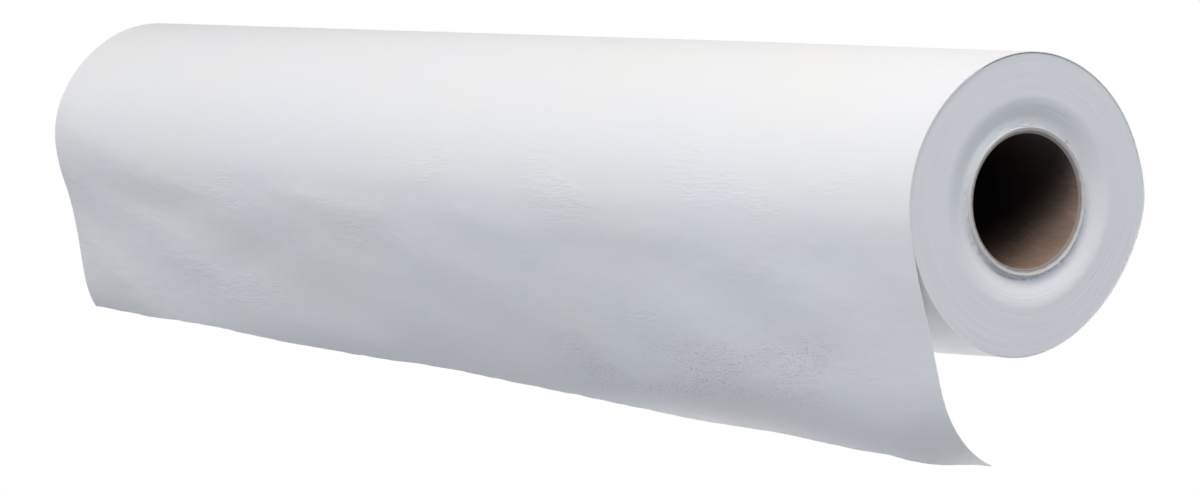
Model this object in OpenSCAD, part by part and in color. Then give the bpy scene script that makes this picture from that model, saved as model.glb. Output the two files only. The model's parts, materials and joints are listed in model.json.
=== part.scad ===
// Roll of exam table paper on a cardboard core, with its loose end hanging down.
// The axis of the roll is X and +Z is up. The sheet comes off at the front, which is -Y.
// The near end of the roll is +X. The origin is the middle of the core's bore.

/* [Paper] */
// Width of the paper, which is the length of the roll
paper_w = 533.4; // [300:0.1:700]
// Diameter of the wound paper
roll_d = 88.9; // [70:0.1:130]
// Thickness of the sheet as drawn
sheet_t = 0.4; // [0.3:0.05:0.8]
// Width of the rings in which the turns show at the ends of the roll
ring_w = 0.9; // [0.7:0.05:2]
// How far the rings stray from a level end
ring_play = 0.1; // [0.02:0.01:0.3]

/* [Slipped turns] */
// Width of the band of turns, next to the core, that has slipped along the roll
slip_w = 10.5; // [6:0.5:12.5]
// How far that band has slipped at its deepest
slip_depth = 1.8; // [0:0.1:4]

/* [Core] */
// Bore of the cardboard core
core_bore_d = 40; // [25:0.1:50]
// Wall of the core
core_wall = 2; // [1:0.1:4]
// How far each end of the core lies inside the end of the roll
core_inset = 0.8; // [0:0.1:10]
// Gap all round between the core and the first turn
core_gap = 0.1; // [0.05:0.05:0.3]

/* [Loose outer turn] */
// Gap between the wound paper and its loose outer turn, at the underside
loose_gap = 1.6; // [0.8:0.1:10]
// How far the loose turn sinks into the wound paper over the top, where it lies tight
loose_sink = 0.5; // [0.3:0.1:2]
// How deep the leaving layer and the loose turn run into each other
layer_bite = 0.1; // [0.05:0.01:0.15]
// How far each of those two layers has strayed along the roll, one either way
layer_stray = 0.2; // [0.1:0.05:2]

/* [Hanging end] */
// Angle below the level of the axis at which the sheet leaves the roll
leave_angle = 17.5; // [0:0.5:40]
// Length of the straight stretch that hangs from there
hang_len = 46; // [20:0.5:150]
// Radius of the curl under the straight stretch
curl_r = 32; // [30:0.5:120]
// Length of the curl at the near end of the roll
curl_len = 25; // [20:0.5:60]
// How much shorter the sheet is at the far end of the roll
edge_skew = 17; // [0:0.5:19]

/* [Hidden] */
$fn = 96;

paper_color = [0.90, 0.91, 0.93];
core_color = [0.52, 0.42, 0.35];

roll_r = roll_d / 2;
core_bore_r = core_bore_d / 2;
core_r = core_bore_r + core_wall;
core_len = paper_w - 2 * core_inset;

// The first turn lies on the core. From there the rings fill each end of the roll evenly,
// up to the level band round its rim, which is wider than the loose turn sinks in.
first_turn_r = core_r + core_gap;
level_r = roll_r - loose_sink - 2 * sheet_t;
ring_count = ceil((level_r - first_turn_r) / ring_w);
// Turning by this angle from ring to ring never repeats, so no two rings match.
golden_angle = 137.5;

// The loose turn is a ring that hangs low, so its upper part merges with the wound paper.
loose_drop = (loose_gap + loose_sink + sheet_t) / 2;
loose_r = roll_r + loose_gap - loose_drop;
// The leaving layer has the same radius and lies forward of it by one layer. It rises out
// of the wound paper near the top and stays on the roll as far as the leaving line.
leave_forward = sheet_t - layer_bite;
rise_angle = 75;

// The curl's middle line, and the angle it has turned through at either end of the roll
curl_mid_r = curl_r + sheet_t / 2;
near_turn = curl_len / curl_r * 180 / PI;
far_turn = (curl_len - edge_skew) / curl_r * 180 / PI;
mid_turn = (near_turn + far_turn) / 2;
// The curl is drawn past its edge, and the slanting cut then makes that edge.
spare_turn = 3;
edge_run = 2 * curl_mid_r * sin((near_turn - far_turn) / 2);
edge_slant = atan(edge_run / paper_w);
cut_size = 2 * (paper_w + hang_len + curl_len);

// How far the ring at radius r has slipped: nothing at the core, most at a quarter of the
// band's width, and nothing again where the band ends in a crease.
function slip(r) =
    let (u = (r - first_turn_r) / slip_w)
    u < 1 ? slip_depth * sin(180 * sqrt(u)) : 0;

function ring_r(k) = first_turn_r + (level_r - first_turn_r) * k / ring_count;

// How far ring k lies to the far side of the level band. All of them lie a little that way.
function shift(k) = slip(ring_r(k)) + ring_play * (1.2 + sin(golden_angle * k));

// Every turn is as wide as the paper, so the far end bulges where the near end is hollow.
function end_line(x) = [
    for (k = [0:ring_count]) [ring_r(k), x - shift(k)],
    [level_r, x],
    [roll_r, x]
];

function backwards(points) =
    [for (i = [len(points) - 1:-1:0]) points[i]];

// Lays a shape that was drawn round Z along the roll: its X becomes Y, and its Y becomes Z.
module along_roll() {
    rotate([90, 0, 90])
        children();
}

// A stretch of the sheet that bends round Z at radius r, from X through the given angle
module curved_sheet(r, turn) {
    rotate_extrude(angle = turn)
        translate([r, -paper_w / 2])
            square([sheet_t, paper_w]);
}

// The turns, wound tight
module wound_turns() {
    rotate_extrude()
        polygon(concat(end_line(-paper_w / 2), backwards(end_line(paper_w / 2))));
}

// The last whole turn, which hangs slack under the roll
module loose_turn() {
    translate([0, -loose_drop, -paper_w / 2 - layer_stray])
        difference() {
            cylinder(r = loose_r + sheet_t, h = paper_w);
            translate([0, 0, -sheet_t])
                cylinder(r = loose_r, h = paper_w + 2 * sheet_t);
        }
}

// Puts the origin in the middle of the free edge, with Y down the sheet.
module at_free_edge() {
    mid_r = curl_mid_r * cos((near_turn - far_turn) / 2);
    translate([loose_r - curl_r, hang_len, 0])
        rotate([0, 0, mid_turn])
            translate([mid_r, 0, 0])
                children();
}

// The outermost layer from near the top to the leaving line, and then the hanging end:
// straight, curled under the roll and torn off aslant. X points at the leaving line.
module leaving_sheet() {
    curved_sheet(loose_r, -rise_angle - leave_angle);
    difference() {
        union() {
            translate([loose_r, 0, -paper_w / 2])
                cube([sheet_t, hang_len, paper_w]);
            translate([loose_r - curl_r, hang_len, 0])
                curved_sheet(curl_r, near_turn + spare_turn);
        }
        at_free_edge()
            rotate([-edge_slant, 0, 0])
                translate([-cut_size / 2, 0, -cut_size / 2])
                    cube(cut_size);
    }
}

// The whole web of paper, from its first turn to its free edge
module paper() {
    color(paper_color)
        along_roll() {
            wound_turns();
            loose_turn();
            translate([-leave_forward, -loose_drop, layer_stray])
                rotate([0, 0, 180 + leave_angle])
                    leaving_sheet();
        }
}

// The cardboard tube in the middle
module core() {
    color(core_color)
        along_roll()
            translate([0, 0, -core_len / 2])
                difference() {
                    cylinder(r = core_r, h = core_len);
                    translate([0, 0, -core_wall])
                        cylinder(r = core_bore_r, h = core_len + 2 * core_wall);
                }
}

paper();
core();
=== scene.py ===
"""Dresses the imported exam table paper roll: wound crepe, its loose end, the core and a studio."""

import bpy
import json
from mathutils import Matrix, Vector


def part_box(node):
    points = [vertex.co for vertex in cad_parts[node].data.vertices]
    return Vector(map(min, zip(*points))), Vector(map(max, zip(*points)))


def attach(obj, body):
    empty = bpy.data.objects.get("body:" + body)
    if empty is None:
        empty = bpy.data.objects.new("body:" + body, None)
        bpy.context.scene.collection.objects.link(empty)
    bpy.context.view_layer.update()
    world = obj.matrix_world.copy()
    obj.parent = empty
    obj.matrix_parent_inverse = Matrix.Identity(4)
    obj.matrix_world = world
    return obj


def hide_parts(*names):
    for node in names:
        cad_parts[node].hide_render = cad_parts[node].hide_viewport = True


bl_info = {
    "name": "Exam table paper roll",
    "version": (1, 0, 0),
    "blender": (4, 5, 0),
    "location": "3D View > Sidebar > Paper Roll",
    "description": "Wound crepe paper with a hanging loose end, its cardboard core and a pale studio",
    "category": "Add Mesh",
}

import json
import math

import bpy
import numpy as np
from bpy.props import FloatProperty, FloatVectorProperty, IntProperty, PointerProperty
from bpy.types import Operator, Panel, PropertyGroup
from mathutils import Vector

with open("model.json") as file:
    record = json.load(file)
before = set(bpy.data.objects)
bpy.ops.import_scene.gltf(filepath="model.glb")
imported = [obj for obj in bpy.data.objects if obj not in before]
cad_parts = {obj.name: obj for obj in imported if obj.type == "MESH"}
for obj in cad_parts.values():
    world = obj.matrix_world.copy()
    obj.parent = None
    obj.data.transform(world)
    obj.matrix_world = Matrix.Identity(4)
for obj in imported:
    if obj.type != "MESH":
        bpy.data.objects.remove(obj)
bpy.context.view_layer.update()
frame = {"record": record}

# Sizes that the frame gives, in metres
core_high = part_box("core")[1]
paper_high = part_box("paper")[1]
bore_mount = frame["record"]["mounts"][0]
BORE_RADIUS = bore_mount["dims"]["r_mm"] / 1000
CORE_RADIUS = core_high.z
CORE_HALF = core_high.x
ROLL_RADIUS = paper_high.z
FULL_TURN = 2 * math.pi

# Room that the loose web takes outside the tight turns
WEB_DEPTH = 0.0005


# Sizes and colours


def length(name, description, default):
    """A size in metres, as a property."""
    return FloatProperty(
        name=name,
        description=description,
        default=default,
        subtype="DISTANCE",
        unit="LENGTH",
        precision=5,
    )


def angle(name, description, degrees):
    """An angle, as a property. Round the roll, angles count from the top towards the front."""
    return FloatProperty(
        name=name,
        description=description,
        default=math.radians(degrees),
        subtype="ANGLE",
        unit="ROTATION",
    )


def colour(name, description, default):
    """A linear colour, as a property."""
    return FloatVectorProperty(
        name=name,
        description=description,
        default=default,
        size=3,
        min=0.0,
        max=1.0,
        subtype="COLOR",
    )


def share(name, description, default):
    """A plain number, as a property."""
    return FloatProperty(name=name, description=description, default=default)


class WoundSizes(PropertyGroup):
    """The turns that are wound tight."""

    width: length("Width", "Width of the paper, along the roll", 0.5334)
    radius: length("Radius", "Radius of the tight turns, under the loose web", ROLL_RADIUS - WEB_DEPTH)
    core_gap: length("Core gap", "Gap between the core and the first turn", 0.0001)
    turn_width: length("Turn width", "Width of the rings that show at the ends", 0.0006)
    turn_play: length("Turn play", "How far single turns stray along the roll", 0.000004)
    slip_depth: length("Slip depth", "How deep both ends are hollow next to the core", 0.0026)
    lip: length("Lip", "How far the innermost turns stand out again, at their upper front", 0.0012)
    out_of_round: length("Out of round", "How far the roll strays from a true circle", 0.0001)
    sag: length("Sag", "How far the near end sags at its underside", 0.0023)
    dent: length("Dent", "How far the near end is pressed in at the back of its underside", 0.0024)
    flat: length("Flat", "How far the near end is pressed in at its back", 0.0008)
    belly: length("Belly", "How far the near end bulges at its front", 0.0006)
    bulge: length("Bulge", "How far a short stretch near the near end bulges at its lower front", 0.0012)
    press: length("Press", "How far the near end is pressed in at its upper front", 0.0007)
    shoulder: length("Shoulder", "How far the near end stands out at its back", 0.0011)
    segments: IntProperty(name="Segments", description="Points round the roll", default=288)


class WebSizes(PropertyGroup):
    """The last turn and a half of the web, and the end that hangs from it."""

    thickness: length("Thickness", "Thickness of the crepe sheet", 0.00025)
    start_angle: angle("Start", "Where the loose web leaves the tight turns", 25)
    leave_angle: angle("Leaving line", "Where the sheet leaves the roll", 101)
    slack_far: length("Slack, far end", "Slack of the last turn at the leaving line, far end", 0.00005)
    slack_near: length("Slack, near end", "Slack of the last turn at the leaving line, near end", 0.00012)
    slack_middle: length("Slack, middle", "Further slack of the last turn between the ends", 0.0030)
    swell: length("Swell", "How far the last turn swells at the front of its far end", 0.0015)
    slack_below: length("Slack below", "Slack of the last turn at the underside", 0.0022)
    length_far: length("Length, far end", "Sheet below the leaving line at the far end", 0.0591)
    length_near: length("Length, near end", "Sheet below the leaving line at the near end", 0.0756)
    cling: angle("Cling", "How much further the sheet follows the roll at both ends", 7)
    recover_far: angle("Recovery, far end", "How far the sheet bends back after that, far end", 10.6)
    recover_near: angle("Recovery, near end", "How far the sheet bends back after that, near end", 3.1)
    droop: angle("Droop", "How sharply the sheet turns down at the leaving line, in its middle", 9)
    sweep: angle("Sweep", "How far the hanging sheet turns under the roll in its middle", 11.3)
    straight: length("Straight", "Stretch between the leaving line and the curl", 0.047)
    curl_far: length("Curl, far end", "Radius of the curl at the far end", 0.029)
    curl_middle: length("Curl, middle", "Radius of the curl in the middle", 0.120)
    curl_near: length("Curl, near end", "Radius of the curl at the near end", 0.050)
    corner: share("Corner", "Further curl of the near corner, in radians for each metre of sheet", 11.0)
    stray: length("Stray", "How far the web has strayed towards the near end", 0.0002)
    billow: length("Billow", "Height of the broad waves in the hanging end", 0.0003)
    crinkle: length("Crinkle", "Height of the small wrinkles", 0.00003)
    cell: length("Cell", "Mesh cell along the roll", 0.0025)
    fine_cell: length("Fine cell", "Mesh cell across the roll, front and hanging end", 0.00125)
    plain_cell: length("Plain cell", "Mesh cell across the roll, elsewhere", 0.0034)


class CoreSizes(PropertyGroup):
    """The spiral-wound cardboard tube."""

    ply_relief: length("Ply relief", "Depth of the lines between the plies at the cut ends", 0.00012)
    ragged: length("Ragged", "How uneven the cut ends are", 0.00014)
    bevel: length("Bevel", "How much shorter the inner ply is than the outer ply", 0.0009)
    seam_pitch: length("Seam pitch", "Length of tube that the inner seam takes for one turn", 0.11)
    seam_depth: length("Seam depth", "Depth of the inner ply's seam", 0.00025)
    plies: IntProperty(name="Plies", description="Plies that show at the cut ends", default=4)
    segments: IntProperty(name="Segments", description="Points round the tube", default=192)


class Finishes(PropertyGroup):
    """Colours and relief of the surfaces."""

    paper: colour("Paper", "Crepe paper", (0.86, 0.865, 0.885))
    paper_warm: colour("Warm paper", "Warmer patches of the paper", (0.865, 0.865, 0.86))
    pit: colour("Pits", "Specks of shade in the stippled paper", (0.30, 0.32, 0.38))
    turn_edge: colour("Turn edges", "Cut edges of the turns, at the ends of the roll", (0.80, 0.82, 0.86))
    board: colour("Board", "Inner face of the cardboard", (0.36, 0.265, 0.215))
    board_dark: colour("Dark board", "Darker fibres of the cardboard", (0.19, 0.125, 0.095))
    # Painted shade: a near-black board colour laid deep in the bore and towards its top
    bore_painted_shade: colour("Painted bore shade", "Board deep inside the bore", (0.02, 0.018, 0.02))
    board_edge: colour("Board edge", "Cut ends of the core", (0.33, 0.29, 0.27))
    outer_ply: colour("Outer ply", "Pale outer ply of the core", (0.72, 0.71, 0.71))
    wrinkle_height: length("Wrinkle height", "Height of the finest crepe wrinkles", 0.0003)


class StageSettings(PropertyGroup):
    """Camera, light from all round and floor. The lamps are listed further down."""

    azimuth: angle("Azimuth", "Camera direction, from the front towards the near end", 55.9)
    elevation: angle("Elevation", "Camera height above the level", 3.9)
    distance: length("Distance", "Distance from the camera to its target", 1.513)
    target: FloatVectorProperty(
        name="Target",
        description="Point that the camera looks at",
        default=(0.0147, 0.0184, -0.0278),
        subtype="TRANSLATION",
        unit="LENGTH",
    )
    lens: share("Lens", "Focal length in millimetres on a 36 mm sensor", 132.4)
    ambient: colour("Ambient", "Light from all round", (0.08, 0.10, 0.12))
    floor_z: length("Floor", "Height of the floor", -0.2)
    floor_colour: colour("Floor colour", "Floor as it lights the roll from below", (0.50, 0.50, 0.51))
    floor_seen: colour("Floor to the eye", "Floor as the camera sees it", (0.86, 0.86, 0.87))


# Meshes


# Faces that meet at more than this, in degrees, keep a crisp edge
SHARP_ANGLE = 50


def smooth_step(low, high, value):
    """0 below low, 1 above high, with a smooth rise between them."""
    part = np.clip((value - low) / (high - low), 0.0, 1.0)
    return part * part * (3.0 - 2.0 * part)


def smooth_max(first, second, blend):
    """The larger of two values, rounded over where they cross."""
    return 0.5 * (first + second + np.sqrt((first - second) ** 2 + blend**2))


def ripples(along, across, long_wave, short_wave, seed, count=48):
    """Seeded soft relief of about unit height, with long waves along and short waves across."""
    dice = np.random.default_rng(seed)
    relief = np.zeros(np.broadcast(along, across).shape)
    for _ in range(count):
        rate_along = dice.normal() / long_wave
        rate_across = dice.normal() / short_wave
        phase = dice.uniform(0, FULL_TURN)
        relief += np.cos(FULL_TURN * (along * rate_along + across * rate_across) + phase)
    return relief * math.sqrt(2 / count)


def round_relief(turn, low_order, high_order, seed):
    """Seeded relief of about unit height round a circle, from waves of the given orders."""
    dice = np.random.default_rng(seed)
    relief = np.zeros(np.shape(turn))
    orders = range(low_order, high_order + 1)
    for order in orders:
        relief += dice.normal() * np.cos(order * turn + dice.uniform(0, FULL_TURN))
    return relief / math.sqrt(len(orders))


def grid_faces(rows, columns, close_rows=False, close_columns=False):
    """Quads between neighbours in a grid of points. A closed direction joins its last to its first."""
    row = np.arange(rows if close_rows else rows - 1)
    column = np.arange(columns if close_columns else columns - 1)
    row, column = np.meshgrid(row, column, indexing="ij")
    next_row = (row + 1) % rows
    next_column = (column + 1) % columns
    corners = [
        row * columns + column,
        row * columns + next_column,
        next_row * columns + next_column,
        next_row * columns + column,
    ]
    return np.stack(corners, axis=-1).reshape(-1, 4)


def make_piece(name, points, faces, materials, chart=None, material_rows=None):
    """A smooth-shaded mesh object. chart holds a place on the flat sheet for each point."""
    mesh = bpy.data.meshes.new(name)
    mesh.from_pydata(points.reshape(-1, 3).tolist(), [], faces.tolist())
    for material in materials:
        mesh.materials.append(material)
    if chart is not None:
        corner = np.zeros(len(mesh.loops), np.int32)
        mesh.loops.foreach_get("vertex_index", corner)
        flat = chart.reshape(-1, 2)[corner].astype(np.float32)
        mesh.uv_layers.new(name="flat_sheet").data.foreach_set("uv", flat.ravel())
    if material_rows is not None:
        mesh.polygons.foreach_set("material_index", material_rows.astype(np.int32))
    mesh.shade_smooth()
    mesh.set_sharp_from_angle(angle=math.radians(SHARP_ANGLE))
    mesh.update()
    piece = bpy.data.objects.new(name, mesh)
    bpy.context.scene.collection.objects.link(piece)
    return piece


def sharpen_border(mesh, rows, columns):
    """Marks the outer edges of a grid of points sharp, so that a thick sheet keeps crisp borders."""
    ends = np.zeros(2 * len(mesh.edges), np.int32)
    mesh.edges.foreach_get("vertices", ends)
    row, column = np.divmod(ends.reshape(-1, 2), columns)
    same_row = row[:, 0] == row[:, 1]
    same_column = column[:, 0] == column[:, 1]
    border_row = same_row & np.isin(row[:, 0], (0, rows - 1))
    border_column = same_column & np.isin(column[:, 0], (0, columns - 1))
    mesh.edges.foreach_set("use_edge_sharp", border_row | border_column)


def around(turn, radius, along):
    """Points at an angle round the roll, counted from the top towards the front."""
    turn, radius, along = np.broadcast_arrays(turn, radius, along)
    return np.stack([along, -radius * np.sin(turn), radius * np.cos(turn)], axis=-1)


def hump(turn, centre, spread):
    """1 at one angle round the roll, falling to 0 on both sides of it. Angles in degrees."""
    off = turn - math.radians(centre)
    return np.exp((np.cos(off) - 1) / math.radians(spread) ** 2)


def steps_between(rows):
    """Shares of the way from one end to the other, for rows that leave out both ends."""
    return np.linspace(0, 1, rows + 2)[1:-1, None]


def nearness(along):
    """0 at the far end of the roll and 1 at its near end."""
    return along / bpy.context.scene.roll_wound.width + 0.5


# Where the near end is out of round: the size's name, out or in, and angle and spread in degrees
NEAR_END_SHAPE = (
    ("sag", 1, 160, 26),
    ("dent", -1, 230, 28),
    ("flat", -1, 305, 30),
    ("belly", 1, 101, 26),
    ("press", -1, 36, 22),
    ("shoulder", 1, 268, 10),
)

# Where that shape begins along the roll, and where the short bulge lies, with its spread
SHAPE_FROM = 0.10
BULGE_TURN, BULGE_SPREAD = 155, 20
BULGE_ALONG, BULGE_REACH = 0.235, 0.020


def wound_radius(turn, along):
    """Radius of the tight turns: nearly round, but out of shape towards the near end."""
    wound = bpy.context.scene.roll_wound
    shape = 0
    for size, way, centre, spread in NEAR_END_SHAPE:
        shape = shape + way * getattr(wound, size) * hump(turn, centre, spread)
    bulge = wound.bulge * hump(turn, BULGE_TURN, BULGE_SPREAD)
    bulge = bulge * np.exp(-(((along - BULGE_ALONG) / BULGE_REACH) ** 2))
    rough = wound.out_of_round * round_relief(turn, 2, 7, seed=5)
    return wound.radius + rough + shape * smooth_step(SHAPE_FROM, CORE_HALF, along) + bulge


# Materials


def add_node(tree, kind, inputs=None, **settings):
    """Adds a shader node. inputs holds a value or another node's output for each socket."""
    node = tree.nodes.new("ShaderNode" + kind)
    for name, value in settings.items():
        setattr(node, name, value)
    for socket, value in (inputs or {}).items():
        if isinstance(value, bpy.types.NodeSocket):
            tree.links.new(value, node.inputs[socket])
        else:
            node.inputs[socket].default_value = value
    return node


def with_alpha(rgb):
    """A colour as shader sockets take it."""
    return (*rgb, 1.0)


def new_material(name):
    """An empty material and its tree."""
    material = bpy.data.materials.new(name)
    material.use_nodes = True
    material.node_tree.nodes.clear()
    return material, material.node_tree


def output(tree, shader):
    """Ends a material with its surface."""
    add_node(tree, "OutputMaterial", {"Surface": shader})


def scaled(tree, vector, scale):
    """A vector times a scale for each of its axes."""
    return add_node(tree, "Mapping", {"Vector": vector, "Scale": scale}).outputs["Vector"]


def noise(tree, vector, detail=2.0, roughness=0.5, distortion=0.0):
    """Noise whose blobs are about one unit of the vector."""
    inputs = {
        "Vector": vector,
        "Scale": 1.0,
        "Detail": detail,
        "Roughness": roughness,
        "Distortion": distortion,
    }
    return add_node(tree, "TexNoise", inputs).outputs["Fac"]


def window(tree, value, low, high, to_low=0.0, to_high=1.0):
    """A value stretched from one range to another, and held inside it."""
    inputs = {
        "Value": value,
        "From Min": low,
        "From Max": high,
        "To Min": to_low,
        "To Max": to_high,
    }
    return add_node(tree, "MapRange", inputs, interpolation_type="SMOOTHSTEP").outputs["Result"]


def maths(tree, operation, first, second):
    """One sum on two values."""
    return add_node(tree, "Math", {0: first, 1: second}, operation=operation).outputs[0]


def mixed(tree, factor, first, second):
    """One colour turning into another."""
    inputs = {"Fac": factor, "Color1": first, "Color2": second}
    return add_node(tree, "MixRGB", inputs).outputs["Color"]


def bump(tree, height, distance, strength):
    """A bumped normal from a height of 0 to 1 over a distance in metres."""
    inputs = {"Height": height, "Distance": distance, "Strength": strength}
    return add_node(tree, "Bump", inputs).outputs["Normal"]


def matt(tree, base, normal, roughness, sheen=0.0):
    """A dull fibrous surface."""
    inputs = {
        "Base Color": base,
        "Normal": normal,
        "Roughness": roughness,
        "Specular IOR Level": 0.2,
        "Sheen Weight": sheen,
    }
    return add_node(tree, "BsdfPrincipled", inputs).outputs["BSDF"]


def across_axis(tree, place):
    """The part of a place that lies across the roll's axis, and its length."""
    split = add_node(tree, "SeparateXYZ", {"Vector": place})
    flat = add_node(tree, "CombineXYZ", {"Y": split.outputs["Y"], "Z": split.outputs["Z"]}).outputs[0]
    radius = add_node(tree, "VectorMath", {0: flat}, operation="LENGTH").outputs["Value"]
    return flat, radius


def seen_by_eye(tree, seen):
    """1 where the camera looks, by itself or through a glossy or clear surface."""
    by_eye = maths(tree, "MAXIMUM", seen["Is Camera Ray"], seen["Is Glossy Ray"])
    return maths(tree, "MAXIMUM", by_eye, seen["Is Transmission Ray"])


# Noise in the crepe: blobs in a metre along the roll and below the leaving line
PATCH_RATE = (18, 40, 1)
SPOT_RATE = (24, 70, 1)
FINE_RATE = (260, 1500, 1)
CREASE_RATE = (120, 700, 1)
GRAIN_RATE = (750, 1700, 1)
TINT_RATE = (14, 20, 1)

# The stippled band: how its line leans along the roll, and its rises and falls in metres
BAND_PIVOT = 0.144
BAND_LEAN = 0.075
BAND_TOP = (0.034, 0.044)
BAND_FOOT = (0.066, 0.058)
BAND_START = (0.030, 0.080)
BAND_END = (0.232, 0.212)

# Shares of the crepe's relief: creases in the band, pits, grit and fine wrinkles; and the pits' shade
CRUMPLED_SHARE = 0.35
PIT_SHARE = 0.9
GRIT_SHARE = 0.7
FINE_SHARE = 0.14
PIT_SHADE = 0.16


def crepe_sheet():
    """Crepe paper: short fine wrinkles along the roll, in patches, with a stipple near the free edge."""
    finishes = bpy.context.scene.roll_finishes
    material, tree = new_material("crepe_sheet")
    chart = add_node(tree, "UVMap", uv_map="flat_sheet").outputs["UV"]
    split = add_node(tree, "SeparateXYZ", {"Vector": chart})
    along, below = split.outputs["X"], split.outputs["Y"]
    patches = noise(tree, scaled(tree, chart, PATCH_RATE), detail=1.0)
    spots = noise(tree, scaled(tree, chart, SPOT_RATE), detail=1.0)
    fine = noise(tree, scaled(tree, chart, FINE_RATE), detail=2.0, distortion=0.4)
    creases = noise(tree, scaled(tree, chart, CREASE_RATE), detail=3.0, distortion=1.0)
    grains = noise(tree, scaled(tree, chart, GRAIN_RATE), detail=2.0, roughness=0.6)
    pits = window(tree, grains, 0.55, 0.72)
    lean = maths(tree, "MULTIPLY", maths(tree, "SUBTRACT", along, BAND_PIVOT), BAND_LEAN)
    level = maths(tree, "ADD", below, lean)
    band = maths(tree, "MULTIPLY", window(tree, level, *BAND_TOP), window(tree, level, *BAND_FOOT))
    band = maths(tree, "MULTIPLY", band, window(tree, along, *BAND_START, 0.1, 1.0))
    band = maths(tree, "MULTIPLY", band, window(tree, along, *BAND_END))
    crumpled = maths(tree, "MULTIPLY", window(tree, spots, 0.30, 0.52), band)
    pits = maths(tree, "MULTIPLY", pits, crumpled)
    in_patches = window(tree, patches, 0.52, 0.70, 0.08, 0.9)
    creased = maths(tree, "ADD", in_patches, maths(tree, "MULTIPLY", crumpled, CRUMPLED_SHARE))
    height = maths(tree, "MULTIPLY", creases, creased)
    height = maths(tree, "SUBTRACT", height, maths(tree, "MULTIPLY", pits, PIT_SHARE))
    grit = maths(tree, "MULTIPLY", grains, crumpled)
    height = maths(tree, "SUBTRACT", height, maths(tree, "MULTIPLY", grit, GRIT_SHARE))
    height = maths(tree, "ADD", height, maths(tree, "MULTIPLY", fine, FINE_SHARE))
    normal = bump(tree, height, finishes.wrinkle_height, 0.8)
    tint = noise(tree, scaled(tree, chart, TINT_RATE), detail=2.0)
    base = mixed(
        tree,
        window(tree, tint, 0.35, 0.65),
        with_alpha(finishes.paper),
        with_alpha(finishes.paper_warm),
    )
    shaded = maths(tree, "MULTIPLY", pits, PIT_SHADE)
    base = mixed(tree, shaded, base, with_alpha(finishes.pit))
    output(tree, matt(tree, base, normal, 0.9, sheen=0.1))
    return material


# Rings in a metre of radius, fine and broad, how far they wander round the axis, and their relief
FINE_RINGS = 3200
BROAD_RINGS = 420
RING_WANDER = 0.8
RING_RELIEF = 0.00003


def turn_edges():
    """The cut edges of many turns: fine rings round the axis."""
    finishes = bpy.context.scene.roll_finishes
    material, tree = new_material("turn_edges")
    place = add_node(tree, "TexCoord").outputs["Object"]
    flat, radius = across_axis(tree, place)
    heading = add_node(tree, "VectorMath", {0: flat}, operation="NORMALIZE").outputs["Vector"]
    stretch = {0: heading, "Scale": RING_WANDER}
    swept = add_node(tree, "VectorMath", stretch, operation="SCALE").outputs["Vector"]

    def rings(rate, detail):
        outward = add_node(tree, "CombineXYZ", {"X": maths(tree, "MULTIPLY", radius, rate)}).outputs[0]
        wave = add_node(tree, "VectorMath", {0: swept, 1: outward}, operation="ADD").outputs["Vector"]
        return noise(tree, wave, detail=detail, roughness=0.6)

    fine = rings(FINE_RINGS, 1.0)
    broad = rings(BROAD_RINGS, 2.0)
    shade = maths(tree, "MULTIPLY", window(tree, broad, 0.3, 0.7), 0.35)
    base = mixed(tree, shade, with_alpha(finishes.turn_edge), with_alpha(finishes.paper))
    height = maths(tree, "ADD", fine, broad)
    output(tree, matt(tree, base, bump(tree, height, RING_RELIEF, 0.5), 0.95))
    return material


# How the painted shade in the bore leans, starting sooner towards its top, where it begins past the
# core's end, and how deep it is full
PAINTED_SHADE_LEAN = 1.6
PAINTED_SHADE_FROM = 0.004
PAINTED_SHADE_FULL = 0.028

# Noise in the board: blobs in a metre along and across the roll. Relief of its fibres, in metres
FIBRE_RATE = (260, 900, 900)
BLOTCH_RATE = (60, 90, 90)
FIBRE_RELIEF = 0.00015


def cardboard():
    """Brown board with darker fibres and a faint grain, and painted shade deep in the bore and towards
    its top.
    """
    finishes = bpy.context.scene.roll_finishes
    material, tree = new_material("cardboard")
    place = add_node(tree, "TexCoord").outputs["Object"]
    fibres = noise(tree, scaled(tree, place, FIBRE_RATE), detail=4.0, roughness=0.6)
    blotches = noise(tree, scaled(tree, place, BLOTCH_RATE), detail=2.0)
    pale = window(tree, maths(tree, "MULTIPLY", fibres, blotches), 0.10, 0.40, 0.35, 0.9)
    base = mixed(tree, pale, with_alpha(finishes.board_dark), with_alpha(finishes.board))
    split = add_node(tree, "SeparateXYZ", {"Vector": place}).outputs
    # Painted shade: the board turns near-black deeper in the bore, and sooner towards its top
    along = maths(tree, "ABSOLUTE", split["X"], 0.0)
    reach = maths(tree, "SUBTRACT", along, maths(tree, "MULTIPLY", split["Z"], PAINTED_SHADE_LEAN))
    deep = window(tree, reach, CORE_HALF + PAINTED_SHADE_FROM, CORE_HALF - PAINTED_SHADE_FULL, 0.0, 0.93)
    base = mixed(tree, deep, base, with_alpha(finishes.bore_painted_shade))
    output(tree, matt(tree, base, bump(tree, fibres, FIBRE_RELIEF, 0.5), 0.85))
    return material


# Where the outer ply begins and is full, outside the bore, and how far it frays, in metres
OUTER_PLY = (0.0009, 0.0015)
PLY_FRAY = 0.0006

# Noise in the board's cut ends: blobs in a metre. Relief of their fuzz, in metres
FUZZ_RATE = (2200, 2200, 2200)
FRAY_RATE = (500, 500, 500)
FUZZ_RELIEF = 0.0002


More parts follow.
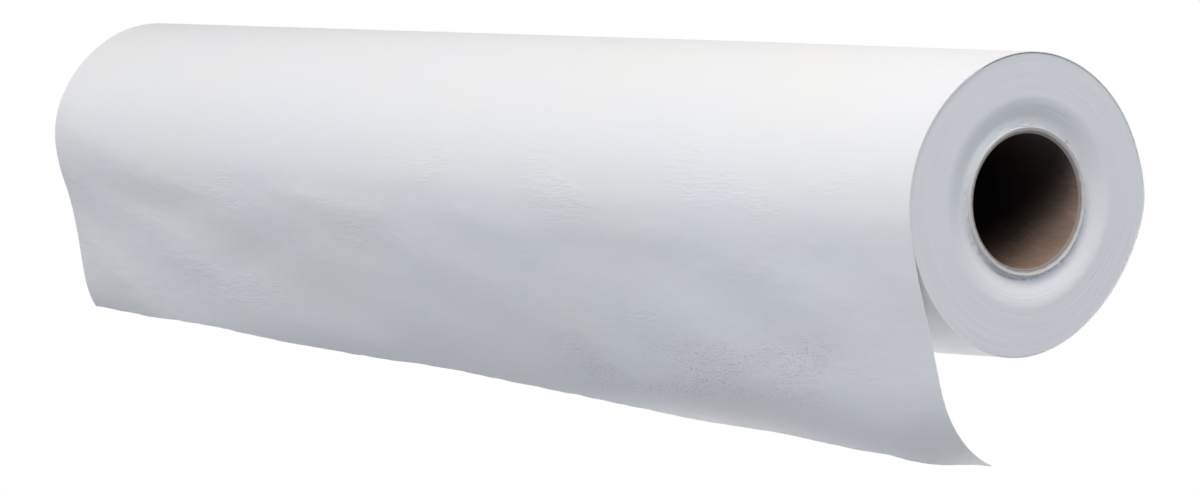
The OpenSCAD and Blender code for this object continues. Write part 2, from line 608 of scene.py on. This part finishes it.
def board_edge():
    """The cut end of the board: taupe and fuzzy inside, with a paler outer ply."""
    finishes = bpy.context.scene.roll_finishes
    material, tree = new_material("board_edge")
    place = add_node(tree, "TexCoord").outputs["Object"]
    radius = across_axis(tree, place)[1]
    fuzz = noise(tree, scaled(tree, place, FUZZ_RATE), detail=3.0, roughness=0.7)
    patches = noise(tree, scaled(tree, place, FRAY_RATE), detail=2.0)
    ragged = maths(tree, "ADD", radius, maths(tree, "MULTIPLY", patches, PLY_FRAY))
    ply_from, ply_full = (BORE_RADIUS + outward for outward in OUTER_PLY)
    pale = window(tree, ragged, ply_from, ply_full, 0.05, 0.9)
    base = mixed(tree, pale, with_alpha(finishes.board_edge), with_alpha(finishes.outer_ply))
    output(tree, matt(tree, base, bump(tree, fuzz, FUZZ_RELIEF, 0.7), 0.95))
    return material


# Distances from the middle of the floor where it begins to fade and where it is white
FADE_FROM = 0.30
FADE_TO = 0.65


def pale_floor():
    """Plain floor that keeps its shadow, fades to white for the camera, and is clear from below."""
    stage = bpy.context.scene.roll_stage
    material, tree = new_material("pale_floor")
    place = add_node(tree, "TexCoord").outputs["Object"]
    away = add_node(tree, "VectorMath", {0: place}, operation="LENGTH").outputs["Value"]
    far = window(tree, away, FADE_FROM, FADE_TO)
    dull = add_node(tree, "BsdfDiffuse", {"Color": with_alpha(stage.floor_colour)}).outputs["BSDF"]
    pale = add_node(tree, "BsdfDiffuse", {"Color": with_alpha(stage.floor_seen)}).outputs["BSDF"]
    white = add_node(tree, "Emission", {"Color": (1, 1, 1, 1), "Strength": 1.0}).outputs["Emission"]
    seen = add_node(tree, "LightPath").outputs
    by_eye = seen_by_eye(tree, seen)
    shown = add_node(tree, "MixShader", {"Fac": far, 1: pale, 2: white}).outputs["Shader"]
    surface = add_node(tree, "MixShader", {"Fac": by_eye, 1: dull, 2: shown}).outputs["Shader"]
    clear = add_node(tree, "BsdfTransparent").outputs["BSDF"]
    from_below = add_node(tree, "NewGeometry").outputs["Backfacing"]
    looked_up = maths(tree, "MULTIPLY", from_below, seen["Is Camera Ray"])
    surface = add_node(tree, "MixShader", {"Fac": looked_up, 1: surface, 2: clear}).outputs["Shader"]
    output(tree, surface)
    return material


# Pieces


# Distances from the paper's bore over which the slipped band and the lip rise and fall
SLIP_REACH = (0.0092, -0.0006)
LIP_REACH = (0.0031, -0.0002)
LIP_TURN, LIP_SPREAD = 60, 32


def end_profile(turn, radius):
    """How far either end stands out: level, and hollow next to the core. The CAD's far end bulges."""
    wound = bpy.context.scene.roll_wound
    outward = radius - CORE_RADIUS - wound.core_gap
    fall = smooth_step(*SLIP_REACH, outward)
    lip = smooth_step(*LIP_REACH, outward) * hump(turn, LIP_TURN, LIP_SPREAD)
    return wound.lip * lip - wound.slip_depth * fall


# How far a ring's two rows of points stand in from its sides, as a share of its width
RING_INSET = 0.12


def wound_rings():
    """Radii of the rows of points across an end: two for each ring, so that small steps part them."""
    wound = bpy.context.scene.roll_wound
    inner = CORE_RADIUS + wound.core_gap
    count = round((wound.radius - inner) / wound.turn_width)
    edges = np.linspace(inner, wound.radius, count + 1)
    step = RING_INSET * wound.turn_width
    low = edges[:-1] + step
    high = edges[1:] - step
    low[0] = inner
    high[-1] = wound.radius
    return np.stack([low, high], axis=-1).ravel()


# Relief of an end, in metres, and the band at its outside where the relief dies away
END_LEVEL = -0.00002
END_WOBBLE = 0.000004
CALM_BAND = 0.001

# How fast an outline that is out of round dies away towards the core
ROUND_POWER = 1.5

# The innermost turns: width of their band, how far they lie inwards, and their crinkles
EDGE_BAND = 0.0005
EDGE_SHIFT = 0.00008
EDGE_CRINKLE_ACROSS = 0.00006
EDGE_CRINKLE_ALONG = 0.00015

# Where and how deep a turn next to the core is pinched
PINCH_TURN, PINCH_SPREAD = 190, 50
PINCH_ROUGH = 0.35
PINCH_DEPTH = 0.0007


def end_face(side, seed):
    """Points over one end of the wound paper, from its bore to its outside."""
    wound = bpy.context.scene.roll_wound
    turn = np.linspace(0, FULL_TURN, wound.segments, endpoint=False)
    radii = wound_rings()
    inner = radii[0]
    ring = np.arange(len(radii)) // 2
    outward = ((radii - inner) / (wound.radius - inner))[:, None]
    along = side * wound.width / 2
    body = radii[:, None] + (wound_radius(turn, along) - wound.radius) * outward**ROUND_POWER
    dice = np.random.default_rng(seed)
    play = wound.turn_play * dice.normal(size=ring[-1] + 1)[ring]
    wobble = np.stack([round_relief(turn, 1, 5, seed=seed + 7 * k) for k in ring])
    shift = play[:, None] + END_WOBBLE * wobble + END_LEVEL
    shift = shift * smooth_step(wound.radius, wound.radius - CALM_BAND, radii)[:, None]
    crinkle = round_relief(turn, 9, 40, seed=seed + 3)
    edge = np.exp(-(((radii - inner) / EDGE_BAND) ** 2))[:, None]
    low_side = hump(turn, PINCH_TURN, PINCH_SPREAD)
    rough = PINCH_ROUGH * round_relief(turn, 7, 60, seed=seed + 5)
    pinch = np.maximum(low_side + rough - PINCH_ROUGH, 0)
    gap = np.where(ring == 1, PINCH_DEPTH, 0.0)[:, None] * pinch
    body = body + edge * (EDGE_CRINKLE_ACROSS * crinkle - EDGE_SHIFT)
    face = end_profile(turn, radii[:, None]) + shift + edge * EDGE_CRINKLE_ALONG * crinkle - gap
    return around(turn, body, along + side * face)


# Rows of points along the paper's outside and bore, and along the core's
PAPER_WALL_ROWS = 60
CORE_WALL_ROWS = 90


class PAPER_ROLL_OT_wound_paper(Operator):
    """Makes the turns that are wound tight, with their edges at both ends"""

    bl_idname = "paper_roll.wound_paper"
    bl_label = "Wound Paper"

    def execute(self, context):
        wound = context.scene.roll_wound
        turn = np.linspace(0, FULL_TURN, wound.segments, endpoint=False)
        near = end_face(1, seed=11)
        far = end_face(-1, seed=12)
        part = steps_between(PAPER_WALL_ROWS)
        along = near[-1][:, 0] + part * (far[-1][:, 0] - near[-1][:, 0])
        side_wall = around(turn, wound_radius(turn, along), along)
        bore_wall = far[0] + part[..., None] * (near[0] - far[0])
        points = np.concatenate([near, side_wall, far[::-1], bore_wall])
        faces = grid_faces(len(points), wound.segments, close_rows=True, close_columns=True)
        piece = make_piece("wound_paper", points, faces, [turn_edges()])
        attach(piece, "root")
        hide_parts("paper")
        return {"FINISHED"}


# Angle before the end of the first loose turn at which the mesh turns fine and the layers begin to lap
LAP_LEAD = 0.6

# How far the first loose layer and the next lie out, in thicknesses of the sheet
FIRST_LIFT = 0.55
NEXT_LIFT = 1.1

# Where the last turn is slack: angles from the top, or past the leaving line, and spreads in degrees
FRONT_SPREAD = 26
MIDDLE_PAST, MIDDLE_SPREAD = 9, 24
BELOW_TURN, BELOW_SPREAD = 190, 32
SWELL_TURN, SWELL_SPREAD = 80, 16

# How far the swell reaches from the far end, and how much less slack the near end has below, as shares
SWELL_REACH = 0.10
BELOW_LOST = 0.95


def web_radius(turn, along):
    """Distance of the web from the axis. The angle from the top goes on counting past a full turn."""
    web = bpy.context.scene.roll_web
    near = nearness(along)
    leaving = math.degrees(web.leave_angle)
    in_front = web.slack_far + (web.slack_near - web.slack_far) * near
    between = web.slack_middle * (1 - (2 * near - 1) ** 4)
    below = web.slack_below * (1 - BELOW_LOST * smooth_step(SHAPE_FROM, CORE_HALF, along))
    slack = in_front * hump(turn, leaving, FRONT_SPREAD) + below * hump(turn, BELOW_TURN, BELOW_SPREAD)
    slack = slack + between * hump(turn, leaving + MIDDLE_PAST, MIDDLE_SPREAD)
    swelling = web.swell * np.exp(-((near / SWELL_REACH) ** 2))
    slack = slack + swelling * hump(turn, SWELL_TURN, SWELL_SPREAD)
    lapped = smooth_step(FULL_TURN - LAP_LEAD, FULL_TURN + web.start_angle, turn)
    second_layer = NEXT_LIFT * web.thickness * lapped
    return wound_radius(turn, along) + FIRST_LIFT * web.thickness + slack + second_layer


# Step along the hanging lines, sheet past the longest of them, and where the near corner curls
LINE_STEP = 0.00025
LINE_SPARE = 0.004
CORNER_REACH = (0.235, 0.2667)

# Metres of sheet over which it clings, bends back, droops and sweeps, and round the curl's beginning
CLING_OVER = 0.006
RECOVER_OVER = 0.030
DROOP_OVER = 0.012
SWEEP_OVER = 0.060
CURL_BLEND = 0.008

# Where the far end's curl stops and the near end's takes over, as shares of the width
FAR_CURL_REACH = 0.06
NEAR_CURL_FROM, NEAR_CURL_FULL = 0.45, 0.85


def hanging_curves(along, start_y, start_z, start_heading):
    """Lines that the sheet follows below the leaving line, one for each place along the roll."""
    web = bpy.context.scene.roll_web
    near = nearness(along)
    middle = 4 * near * (1 - near)
    below = np.arange(0, web.length_near + LINE_SPARE, LINE_STEP)[:, None]
    cling = web.cling * (1 - middle) * smooth_step(0, CLING_OVER, below)
    recover = web.recover_far + (web.recover_near - web.recover_far) * near
    recover = recover * (1 - middle) * smooth_step(CLING_OVER, RECOVER_OVER, below)
    droop = web.droop * smooth_step(0, DROOP_OVER, below)
    sweep = middle * (droop + web.sweep * below / SWEEP_OVER)
    at_far = np.exp(-((near / FAR_CURL_REACH) ** 2))
    at_near = smooth_step(NEAR_CURL_FROM, NEAR_CURL_FULL, near)
    curl = (1 - at_far - at_near) / web.curl_middle + at_far / web.curl_far + at_near / web.curl_near
    curl = curl + web.corner * smooth_step(*CORNER_REACH, along)
    bend = smooth_step(web.straight - CURL_BLEND, web.straight + CURL_BLEND, below) * curl
    heading = start_heading + cling - recover + sweep + np.cumsum(bend, axis=0) * LINE_STEP
    y = start_y - np.cumsum(np.cos(heading), axis=0) * LINE_STEP
    z = start_z - np.cumsum(np.sin(heading), axis=0) * LINE_STEP
    return below[:, 0], y, z, heading


# Where the free edge hangs lower: share of the width from the far end, spread, and metres of sheet
EDGE_WAVES = (
    (0.17, 0.08, -0.0021),
    (0.34, 0.10, 0.0010),
    (0.52, 0.09, 0.0012),
    (0.71, 0.12, 0.0045),
    (0.88, 0.05, 0.0006),
    (0.93, 0.03, -0.0014),
    (1.00, 0.05, 0.0018),
)

# Small unevenness of the free edge: height, wave along the roll and seed
EDGE_RIPPLES = (
    (0.00012, 0.02, 31),
    (0.00004, 0.006, 32),
)

# Soft folds of the hanging end: points in metres along the roll and below the leaving line,
# then the fold's width and its height. A hollow has a height below zero.
FOLDS = (
    (((-0.165, 0.019), (-0.118, 0.013), (-0.078, 0.005), (-0.030, 0.007)), 0.0065, 0.0003),
    (((-0.150, 0.035), (-0.112, 0.026), (-0.075, 0.019), (-0.025, 0.021)), 0.0065, -0.0003),
    (((-0.120, 0.039), (-0.070, 0.039), (0.010, 0.047)), 0.0080, 0.0002),
    (((-0.255, -0.013), (-0.205, -0.001), (-0.150, 0.004)), 0.0060, 0.0002),
    (((-0.240, 0.001), (-0.195, 0.015), (-0.150, 0.019)), 0.0070, -0.0003),
    (((-0.262, 0.023), (-0.248, 0.039), (-0.222, 0.053)), 0.0080, 0.0003),
    (((-0.100, 0.002), (-0.068, 0.004)), 0.0030, 0.0002),
)


def fold_height(along, below):
    """Height of all the folds at a place on the sheet."""
    height = np.zeros(np.broadcast(along, below).shape)
    for line, width, top in FOLDS:
        nearest = np.full_like(height, np.inf)
        for (x0, s0), (x1, s1) in zip(line, line[1:]):
            run_x, run_s = x1 - x0, s1 - s0
            part = ((along - x0) * run_x + (below - s0) * run_s) / (run_x**2 + run_s**2)
            part = np.clip(part, 0, 1)
            off = np.hypot(along - x0 - part * run_x, below - s0 - part * run_s)
            nearest = np.minimum(nearest, off)
        height += top * np.exp(-((nearest / width) ** 2))
    return height


def rolled_web(along, last):
    """Angles of the rows on the roll up to the leaving line, and their places across it."""
    web = bpy.context.scene.roll_web
    fine_from = FULL_TURN - LAP_LEAD
    plain_turns = np.arange(web.start_angle, fine_from, web.plain_cell / ROLL_RADIUS)
    fine_turns = np.arange(fine_from, last, web.fine_cell / ROLL_RADIUS)
    turn = np.append(np.concatenate([plain_turns, fine_turns]), last)[:, None]
    radius = web_radius(turn, along)
    return turn, -radius * np.sin(turn), radius * np.cos(turn)


# Angle back from the leaving line over which the sheet's direction there is taken
LOOK_BACK = 0.01


def leaving_heading(along, last, leave_y, leave_z):
    """Direction of the sheet at the leaving line, for each place along the roll."""
    before = last - LOOK_BACK
    radius = web_radius(before, along)
    back_y = -radius * math.sin(before) - leave_y
    back_z = radius * math.cos(before) - leave_z
    return np.arctan2(back_z, back_y)


def hanging_lengths(along):
    """Sheet between the leaving line and the wavy free edge, for each place along the roll."""
    web = bpy.context.scene.roll_web
    near = nearness(along)
    hang = web.length_far + (web.length_near - web.length_far) * near
    for place, spread, further in EDGE_WAVES:
        hang = hang + further * np.exp(-(((near - place) / spread) ** 2))
    for height, wave, seed in EDGE_RIPPLES:
        hang = hang + height * ripples(along, 0, wave, 1, seed=seed)
    return hang


def hung_web(along, start_y, start_z, start_heading):
    """Rows of the hanging end: sheet below the leaving line, places across the roll, and directions."""
    web = bpy.context.scene.roll_web
    below, *curves = hanging_curves(along, start_y, start_z, start_heading)
    rows = np.linspace(0, 1, round(web.length_near / web.fine_cell) + 1)[1:]
    hung = rows[:, None] * hanging_lengths(along)

    def followed(curve):
        columns = [np.interp(hung[:, k], below, curve[:, k]) for k in range(len(along))]
        return np.stack(columns, axis=-1)

    return hung, *(followed(curve) for curve in curves)


# Metres below the leaving line over which the broad waves and the wrinkles set in
BILLOW_FROM, BILLOW_FULL = -0.006, 0.016
CRINKLE_FROM, CRINKLE_FULL = -0.090, -0.060

# Waves of both, along the roll and below the leaving line, in metres
BILLOW_WAVES = (0.12, 0.07)
CRINKLE_WAVES = (0.012, 0.0035)

# How far the sheet may dip towards the roll where it hangs close to it, and how softly it stops
DIP = 0.0006
DIP_BLEND = 0.00005


def sheet_relief(along, below):
    """Height of the waves, folds and wrinkles over the smooth sheet."""
    web = bpy.context.scene.roll_web
    free = smooth_step(BILLOW_FROM, BILLOW_FULL, below)
    shown = smooth_step(CRINKLE_FROM, CRINKLE_FULL, below)
    height = web.billow * ripples(along, below, *BILLOW_WAVES, seed=41) * free
    height = height + fold_height(along, below)
    crinkles = web.crinkle * ripples(along, below, *CRINKLE_WAVES, seed=42)
    height = height + crinkles * shown
    return np.where(free < 1, smooth_max(height, -DIP * free, DIP_BLEND), height)


class PAPER_ROLL_OT_loose_web(Operator):
    """Makes the last turn and a half of the web, with the end that hangs from the roll"""

    bl_idname = "paper_roll.loose_web"
    bl_label = "Loose Web"

    def execute(self, context):
        web = context.scene.roll_web
        wound = context.scene.roll_wound
        columns = round(wound.width / web.cell) + 1
        along = np.linspace(-wound.width / 2, wound.width / 2, columns)
        last = FULL_TURN + web.leave_angle
        turn, rolled_y, rolled_z = rolled_web(along, last)
        start_heading = leaving_heading(along, last, rolled_y[-1], rolled_z[-1])
        hung, hung_y, hung_z, hung_heading = hung_web(along, rolled_y[-1], rolled_z[-1], start_heading)
        middle_y = np.concatenate([rolled_y, hung_y])
        middle_z = np.concatenate([rolled_z, hung_z])
        heading = np.concatenate([turn + 0 * along, hung_heading + FULL_TURN])
        below = np.concatenate([(turn - last) * ROLL_RADIUS + 0 * along, hung])
        height = sheet_relief(along, below)
        out_y, out_z = -np.sin(heading), np.cos(heading)
        points = [along + web.stray + 0 * below, middle_y + height * out_y, middle_z + height * out_z]
        chart = np.stack([along + 0 * below, below], axis=-1)
        faces = grid_faces(len(below), columns)
        piece = make_piece("loose_web", np.stack(points, axis=-1), faces, [crepe_sheet()], chart=chart)
        sharpen_border(piece.data, len(below), columns)
        solid = piece.modifiers.new("thickness", "SOLIDIFY")
        solid.thickness = web.thickness
        solid.offset = 0
        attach(piece, "root")
        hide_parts("paper")
        return {"FINISHED"}


# The core's cut ends: spread of the lines, in plies, and rounding of the corners, in walls and metres
PLY_LINE_SPREAD = 0.18
CORNER_SPREAD = 0.06
CORNER_DROP = 0.0002

# How much of an end's unevenness the inner side has, and how much it gains towards the outer side
RAGGED_INSIDE = 0.4
RAGGED_GAIN = 0.6

# Half-width of the seam in the bore in metres, and the share of its depth that shows
SEAM_SPREAD = 0.0012
SEAM_SHARE = 0.8


class PAPER_ROLL_OT_core(Operator):
    """Makes the cardboard tube, with its plies at the cut ends and the spiral seam in its bore"""

    bl_idname = "paper_roll.core"
    bl_label = "Cardboard Core"

    def execute(self, context):
        core = context.scene.roll_core
        turn = np.linspace(0, FULL_TURN, core.segments, endpoint=False)
        rim_rows = 4 * core.plies + 1
        across = np.linspace(0, 1, rim_rows)
        radii = BORE_RADIUS + (CORE_RADIUS - BORE_RADIUS) * across
        ply = np.abs((across * core.plies + 0.5) % 1 - 0.5)
        groove = core.ply_relief * np.exp(-((ply / PLY_LINE_SPREAD) ** 2))
        inner_corner = np.exp(-((across / CORNER_SPREAD) ** 2))
        outer_corner = np.exp(-(((1 - across) / CORNER_SPREAD) ** 2))
        corner = CORNER_DROP * (inner_corner + outer_corner)
        rims = []
        for side, seed in ((1, 61), (-1, 62)):
            rough = core.ragged * np.abs(round_relief(turn, 5, 45, seed=seed))
            inward = (groove + corner + core.bevel * (1 - across))[:, None]
            inward = inward + rough * (RAGGED_INSIDE + RAGGED_GAIN * across[:, None])
            rims.append(around(turn, radii[:, None], side * (CORE_HALF - inward)))
        near, far = rims
        share_along = steps_between(CORE_WALL_ROWS)
        outside = near[-1] + share_along[..., None] * (far[-1] - near[-1])
        along = far[0][:, 0] + share_along * (near[0][:, 0] - far[0][:, 0])
        lead = along * FULL_TURN / core.seam_pitch
        off_seam = (turn + lead + math.pi) % FULL_TURN - math.pi
        seam = core.seam_depth * np.exp(-((off_seam * BORE_RADIUS / SEAM_SPREAD) ** 2))
        bore = around(turn, BORE_RADIUS + seam * SEAM_SHARE, along)
        points = np.concatenate([near, outside, far[::-1], bore])
        rows = len(points)
        faces = grid_faces(rows, core.segments, close_rows=True, close_columns=True)
        row_of_face = np.repeat(np.arange(rows), core.segments)
        far_rim_start = rim_rows + CORE_WALL_ROWS
        outside_bore = row_of_face < far_rim_start + rim_rows - 1
        materials = [cardboard(), board_edge()]
        piece = make_piece("core_tube", points, faces, materials, material_rows=outside_bore)
        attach(piece, "root")
        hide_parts("core")
        return {"FINISHED"}


# Stage


# Lamps: name, place, target, width and height, watts and colour
LAMPS = (
    ("key", (0.636, -0.636, 1.072), (0, 0, 0), (0.7, 0.7), 10.8, (1.0, 0.95, 0.89)),
    ("overhead", (0.647, -0.114, 1.236), (0, 0, 0), (0.8, 0.8), 1.9, (1.0, 0.82, 0.50)),
    ("near", (1.129, -0.199, 0.803), (0, 0, 0), (0.7, 0.7), 1.6, (1.0, 0.98, 0.97)),
    ("front", (0.463, -1.271, 0.362), (0, 0, 0), (0.8, 0.8), 2.8, (0.47, 0.66, 1.0)),
    ("left", (-0.779, -0.929, 0.700), (0, 0, 0), (0.8, 0.8), 6.3, (1.0, 0.97, 0.95)),
    ("back", (0.897, 0.897, 0.592), (0, 0, 0), (0.8, 0.8), 5.2, (0.85, 0.91, 1.0)),
    ("strip", (0, 0.090, -0.185), (0, 0.060, 0), (0.52, 0.06), 0.53, (1.0, 1.0, 1.0)),
)


# Half the floor's width, and the sensor's width in millimetres
FLOOR_HALF = 3.0
SENSOR_WIDTH = 36


def direction(azimuth, elevation):
    """Unit vector from the object towards an azimuth and elevation in radians."""
    level = math.cos(elevation)
    return Vector((math.sin(azimuth) * level, -math.cos(azimuth) * level, math.sin(elevation)))


def add_area_lamp(name, place, target, size, power, rgb):
    """A soft flat lamp that shines at a target and is itself never seen."""
    lamp = bpy.data.lights.new(name, "AREA")
    lamp.shape = "RECTANGLE"
    lamp.size, lamp.size_y = size
    lamp.energy = power
    lamp.color = rgb
    holder = bpy.data.objects.new(name, lamp)
    holder.location = place
    heading = Vector(target) - Vector(place)
    holder.rotation_euler = heading.to_track_quat("-Z", "Y").to_euler()
    holder.visible_camera = False
    bpy.context.scene.collection.objects.link(holder)


def make_world(ambient):
    """A world that is white to look at and gives a soft cool light."""
    world = bpy.data.worlds.new("studio")
    bpy.context.scene.world = world
    world.use_nodes = True
    tree = world.node_tree
    tree.nodes.clear()
    seen = add_node(tree, "LightPath").outputs
    by_eye = seen_by_eye(tree, seen)
    light = mixed(tree, by_eye, with_alpha(ambient), (1, 1, 1, 1))
    background = add_node(tree, "Background", {"Color": light, "Strength": 1.0}).outputs["Background"]
    add_node(tree, "OutputWorld", {"Surface": background})


class PAPER_ROLL_OT_stage(Operator):
    """Makes the camera, the lamps, the floor and the white surroundings"""

    bl_idname = "paper_roll.stage"
    bl_label = "Stage"

    def execute(self, context):
        stage = context.scene.roll_stage
        back = direction(stage.azimuth, stage.elevation)
        lens = bpy.data.cameras.new("camera")
        lens.lens = stage.lens
        lens.sensor_width = SENSOR_WIDTH
        camera = bpy.data.objects.new("camera", lens)
        camera.location = Vector(stage.target) + back * stage.distance
        camera.rotation_euler = (-back).to_track_quat("-Z", "Y").to_euler()
        context.scene.collection.objects.link(camera)
        context.scene.camera = camera
        for lamp in LAMPS:
            add_area_lamp(*lamp)
        make_world(stage.ambient)
        corners = [(x, y, 0) for x, y in ((-1, -1), (1, -1), (1, 1), (-1, 1))]
        points = np.array(corners, float) * FLOOR_HALF
        floor = make_piece("floor", points, np.array([[0, 1, 2, 3]]), [pale_floor()])
        floor.location.z = stage.floor_z
        context.scene.view_settings.view_transform = "Standard"
        return {"FINISHED"}


class PAPER_ROLL_PT_panel(Panel):
    """Lists the steps in the sidebar"""

    bl_idname = "PAPER_ROLL_PT_panel"
    bl_label = "Exam Table Paper Roll"
    bl_space_type = "VIEW_3D"
    bl_region_type = "UI"
    bl_category = "Paper Roll"

    def draw(self, context):
        for operator in OPERATORS:
            self.layout.operator(operator.bl_idname)


GROUPS = {
    "roll_wound": WoundSizes,
    "roll_web": WebSizes,
    "roll_core": CoreSizes,
    "roll_finishes": Finishes,
    "roll_stage": StageSettings,
}
OPERATORS = (
    PAPER_ROLL_OT_stage,
    PAPER_ROLL_OT_wound_paper,
    PAPER_ROLL_OT_loose_web,
    PAPER_ROLL_OT_core,
)


def register():
    for name, group in GROUPS.items():
        bpy.utils.register_class(group)
        setattr(bpy.types.Scene, name, PointerProperty(type=group))
    for operator in OPERATORS:
        bpy.utils.register_class(operator)
    bpy.utils.register_class(PAPER_ROLL_PT_panel)


def unregister():
    bpy.utils.unregister_class(PAPER_ROLL_PT_panel)
    for operator in reversed(OPERATORS):
        bpy.utils.unregister_class(operator)
    for name, group in GROUPS.items():
        delattr(bpy.types.Scene, name)
        bpy.utils.unregister_class(group)


def main():
    register()
    bpy.ops.paper_roll.stage()
    bpy.ops.paper_roll.wound_paper()
    bpy.ops.paper_roll.loose_web()
    bpy.ops.paper_roll.core()


if __name__ == "__main__":
    main()
